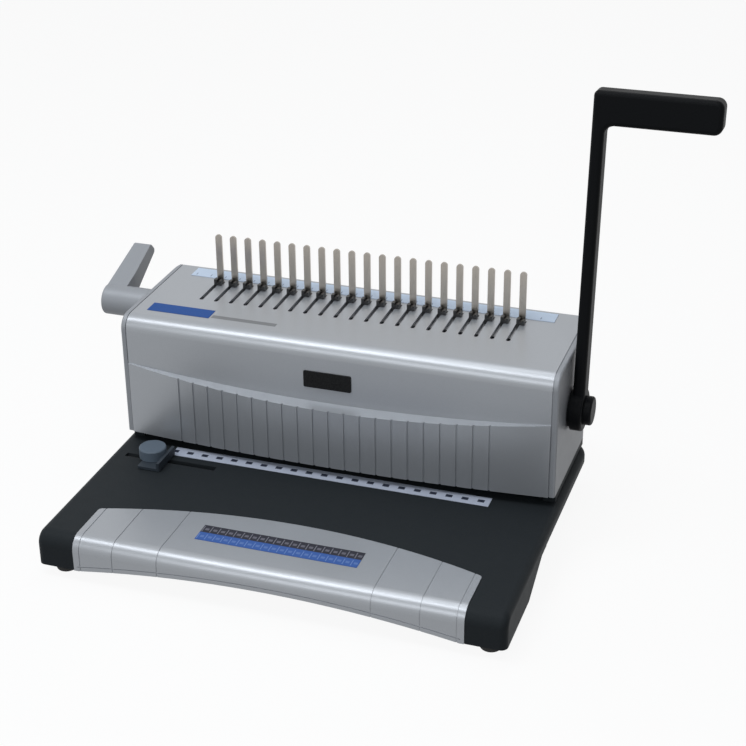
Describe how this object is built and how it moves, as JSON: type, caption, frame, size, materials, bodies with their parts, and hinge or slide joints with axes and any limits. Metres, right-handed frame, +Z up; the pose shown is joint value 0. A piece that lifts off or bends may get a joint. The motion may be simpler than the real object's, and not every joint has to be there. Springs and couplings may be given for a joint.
{
  "type": "comb binding machine",
  "caption": "Table-top comb binding machine: paper table, fluted silver housing, row of upright fingers, punch handle on the right and comb-opening lever on the left.",
  "frame": {"origin": "on the surface that the feet stand on, under the middle of the whole machine's outline at rest", "axes": "+Z up, +X to the operator's right along the row of fingers, -Y towards the operator"},
  "size_m": [0.5494, 0.306, 0.3877],
  "materials": {
    "black_moulding": "black moulding with a fine grain",
    "silver_moulding": "silver paint with a fine metallic speckle",
    "grey_moulding": "blue-grey moulding",
    "handle_black": "satin black moulding",
    "black_enamel": "black enamel on steel",
    "silver_enamel": "silver enamel on sheet steel",
    "steel": "brushed steel",
    "nickel": "nickel plating",
    "bush_brass": "turned brass",
    "screw_steel": "dark zinc-plated steel",
    "foot_rubber": "black rubber",
    "label_blue": "blue printed film",
    "label_pale": "pale grey printed film",
    "label_black": "bare black plate"
  },
  "bodies": {
    "frame": {"base_cover": "black_moulding", "cover_plinths": "black_moulding", "front_trim": "silver_moulding", "trim_label": "label_blue", "scale_strip": "label_pale", "blue_label": "label_blue", "comb_size_strip": "label_pale", "name_plate": "label_black", "chassis_pan": "black_enamel", "rubber_feet": "foot_rubber", "foot_screws": "screw_steel", "base_screws": "screw_steel", "frame_screws": "screw_steel", "main_cover": "silver_moulding", "rear_cover": "silver_enamel", "rear_screws": "screw_steel", "left_end_cap": "silver_moulding", "right_end_cap": "silver_moulding", "left_side_frame": "steel", "right_side_frame": "steel", "shaft_bushes": "bush_brass", "opener_bushes": "bush_brass", "die_plate": "steel", "punch_guide": "steel", "die_spacers": "steel", "back_stop": "steel", "plate_screws": "screw_steel", "binding_fingers": "nickel", "finger_rail": "steel", "finger_rivets": "screw_steel", "slider_rails": "steel", "left_return_spring": "steel", "right_return_spring": "steel"},
    "punch_handle": {"handle_lever": "handle_black", "handle_core": "steel", "handle_bolt": "handle_black", "handle_spacer": "handle_black", "punch_shaft": "steel", "left_cam": "steel", "right_cam": "steel", "cam_pins": "steel"},
    "punch_ram": {"punch_bar": "steel", "follower_pads": "bush_brass", "punch_pins": "steel"},
    "comb_opener": {"comb_lever": "silver_moulding", "lever_set_screw": "screw_steel", "opener_shaft": "steel", "left_pinion": "steel", "right_pinion": "steel"},
    "hook_slide": {"slide_plate": "steel", "pull_hooks": "black_enamel", "left_rack": "steel", "right_rack": "steel"},
    "edge_guide": {"guide_body": "grey_moulding", "guide_nut": "steel"},
    "guide_knob": {"guide_knob": "grey_moulding", "guide_screw": "screw_steel"},
    "chip_drawer": {"chip_drawer": "black_moulding"}
  },
  "joints": [
    {"name": "punch_handle_swing", "type": "hinge", "parent": "frame", "child": "punch_handle", "pos_m": [0, 0.06759, 0.1125], "axis": [1, 0, 0], "range_deg": [0, 85]},
    {"name": "punch_stroke", "type": "slide", "parent": "frame", "child": "punch_ram", "axis": [0, 0, -1], "range_m": [0, 0.0116], "stiffness_N_per_m": 1500, "springref_m": -0.02, "deforming": ["left_return_spring", "right_return_spring"]},
    {"name": "comb_lever_swing", "type": "hinge", "parent": "frame", "child": "comb_opener", "pos_m": [0, 0.08359, 0.148], "axis": [1, 0, 0], "range_deg": [0, 148]},
    {"name": "hook_travel", "type": "slide", "parent": "frame", "child": "hook_slide", "axis": [0, -1, 0], "range_m": [0, 0.0273]},
    {"name": "edge_guide_slide", "type": "slide", "parent": "frame", "child": "edge_guide", "axis": [1, 0, 0], "range_m": [-0.014, 0.056]},
    {"name": "guide_knob_turn", "type": "hinge", "parent": "edge_guide", "child": "guide_knob", "pos_m": [-0.19225, -0.00841, 0.05], "axis": [0, 0, 1], "range_deg": [0, 180]},
    {"name": "chip_drawer_slide", "type": "slide", "parent": "frame", "child": "chip_drawer", "axis": [0, 1, 0], "range_m": [0, 0.09]}
  ],
  "couplings": [
    {"joint": "punch_stroke", "follows": "punch_handle_swing", "m_per_rad": 0.0077518},
    {"joint": "hook_travel", "follows": "comb_lever_swing", "m_per_rad": 0.0105}
  ]
}
